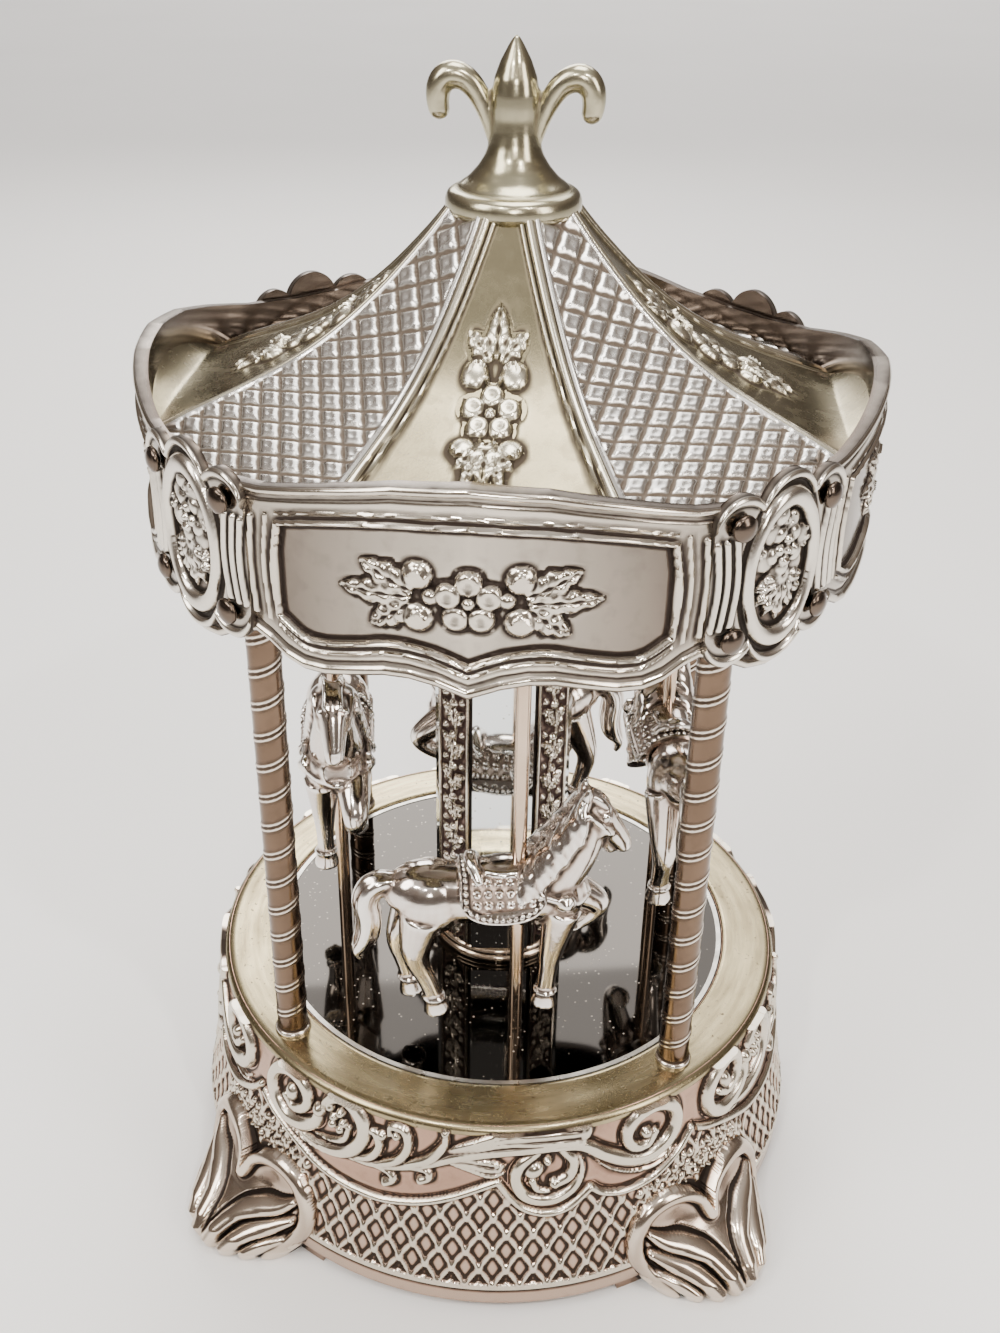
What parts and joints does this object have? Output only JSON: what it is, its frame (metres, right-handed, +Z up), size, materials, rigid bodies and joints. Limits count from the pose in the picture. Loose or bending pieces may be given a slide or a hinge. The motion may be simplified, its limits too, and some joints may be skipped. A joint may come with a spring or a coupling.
{
  "type": "carousel music box",
  "caption": "Silver-plated carousel music box: horses on poles around a mirrored column turn on a mirror floor under a fixed canopy on posts; wound by a key under the footed base.",
  "frame": {"origin": "on the table under the centre of the base, midway between the feet", "axes": "+Z up; the front side of the canopy and of the fleur-de-lis finial faces -Y; +X to the right seen from the front"},
  "size_m": [0.1646, 0.1646, 0.2847],
  "materials": {
    "silver_base": "worn silver plate with warm tarnish",
    "silver_feet": "worn silver plate with dark folds",
    "silver_posts": "polished silver plate",
    "silver_roof": "tarnished silver plate",
    "silver_fascia": "polished silver plate with dark recesses",
    "silver_finial": "tarnished silver plate",
    "silver_horses": "bright silver plate with dark recesses",
    "silver_poles": "polished silver plate",
    "mirror_floor": "dark mirror",
    "column_mirror": "polished mirror strip",
    "silver_column": "silver plate relief with dark recesses",
    "column_core": "dark matt core",
    "turntable_metal": "turned metal",
    "cover_metal": "dark painted plate",
    "fastener_steel": "zinc-plated steel",
    "movement_brass": "machined brass",
    "movement_frame": "cast zinc frame",
    "movement_steel": "ground steel",
    "key_metal": "nickel-plated key"
  },
  "bodies": {
    "housing": {"base_shell": "silver_base", "foot_front_right": "silver_feet", "foot_back_right": "silver_feet", "foot_back_left": "silver_feet", "foot_front_left": "silver_feet", "foot_screws": "fastener_steel", "bottom_cover": "cover_metal", "cover_screws": "fastener_steel", "post_front_right": "silver_posts", "post_back_right": "silver_posts", "post_back_left": "silver_posts", "post_front_left": "silver_posts", "post_screws": "fastener_steel", "canopy_roof": "silver_roof", "fascia": "silver_fascia", "rosette_front_right": "silver_fascia", "rosette_back_right": "silver_fascia", "rosette_back_left": "silver_fascia", "rosette_front_left": "silver_fascia", "rosette_studs": "silver_fascia", "finial": "silver_finial", "finial_nut": "fastener_steel", "bedplate": "movement_frame", "movement_screws": "fastener_steel", "barrel_bridge": "movement_frame", "cylinder_brackets": "movement_frame", "comb": "movement_steel", "comb_block": "movement_frame", "comb_screws": "fastener_steel", "governor_frame": "movement_frame"},
    "carousel": {"turntable_plate": "turntable_metal", "mirror_floor": "mirror_floor", "turntable_hub": "turntable_metal", "hub_screws": "fastener_steel", "column_foot_ring": "silver_column", "column_core": "column_core", "column_screws": "fastener_steel", "column_mirrors": "column_mirror", "column_reliefs": "silver_column", "pole_plate": "turntable_metal", "pole_plate_screw": "fastener_steel", "horse_front": "silver_horses", "horse_right": "silver_horses", "horse_back": "silver_horses", "horse_left": "silver_horses", "pole_front": "silver_poles", "pole_right": "silver_poles", "pole_back": "silver_poles", "pole_left": "silver_poles", "spring_barrel": "movement_brass", "mainspring": "movement_steel"},
    "key": {"winding_arbor": "movement_steel", "winding_key": "key_metal"},
    "cylinder": {"note_cylinder": "movement_brass", "cylinder_pinion": "movement_brass", "great_wheel": "movement_brass"},
    "layshaft": {"layshaft": "movement_steel", "worm_wheel": "movement_brass"},
    "governor": {"governor_worm": "movement_steel", "governor_fly": "movement_brass"}
  },
  "joints": [
    {"name": "carousel_spin", "type": "hinge", "parent": "housing", "child": "carousel", "pos_m": [0, 0, 0.0573], "axis": [0, 0, 1], "continuous": true},
    {"name": "key_turn", "type": "hinge", "parent": "housing", "child": "key", "pos_m": [0, 0, 0.012], "axis": [0, 0, 1], "continuous": true},
    {"name": "cylinder_spin", "type": "hinge", "parent": "housing", "child": "cylinder", "pos_m": [0.03, 0, 0.0423], "axis": [1, 0, 0], "continuous": true},
    {"name": "layshaft_spin", "type": "hinge", "parent": "housing", "child": "layshaft", "pos_m": [0.05, -0.01, 0.0423], "axis": [1, 0, 0], "continuous": true},
    {"name": "governor_spin", "type": "hinge", "parent": "housing", "child": "governor", "pos_m": [0.0526, -0.0175, 0.0423], "axis": [0, 0, 1], "continuous": true}
  ],
  "couplings": [
    {"joint": "cylinder_spin", "follows": "carousel_spin", "ratio": 3},
    {"joint": "layshaft_spin", "follows": "carousel_spin", "ratio": -9},
    {"joint": "governor_spin", "follows": "carousel_spin", "ratio": -108}
  ]
}
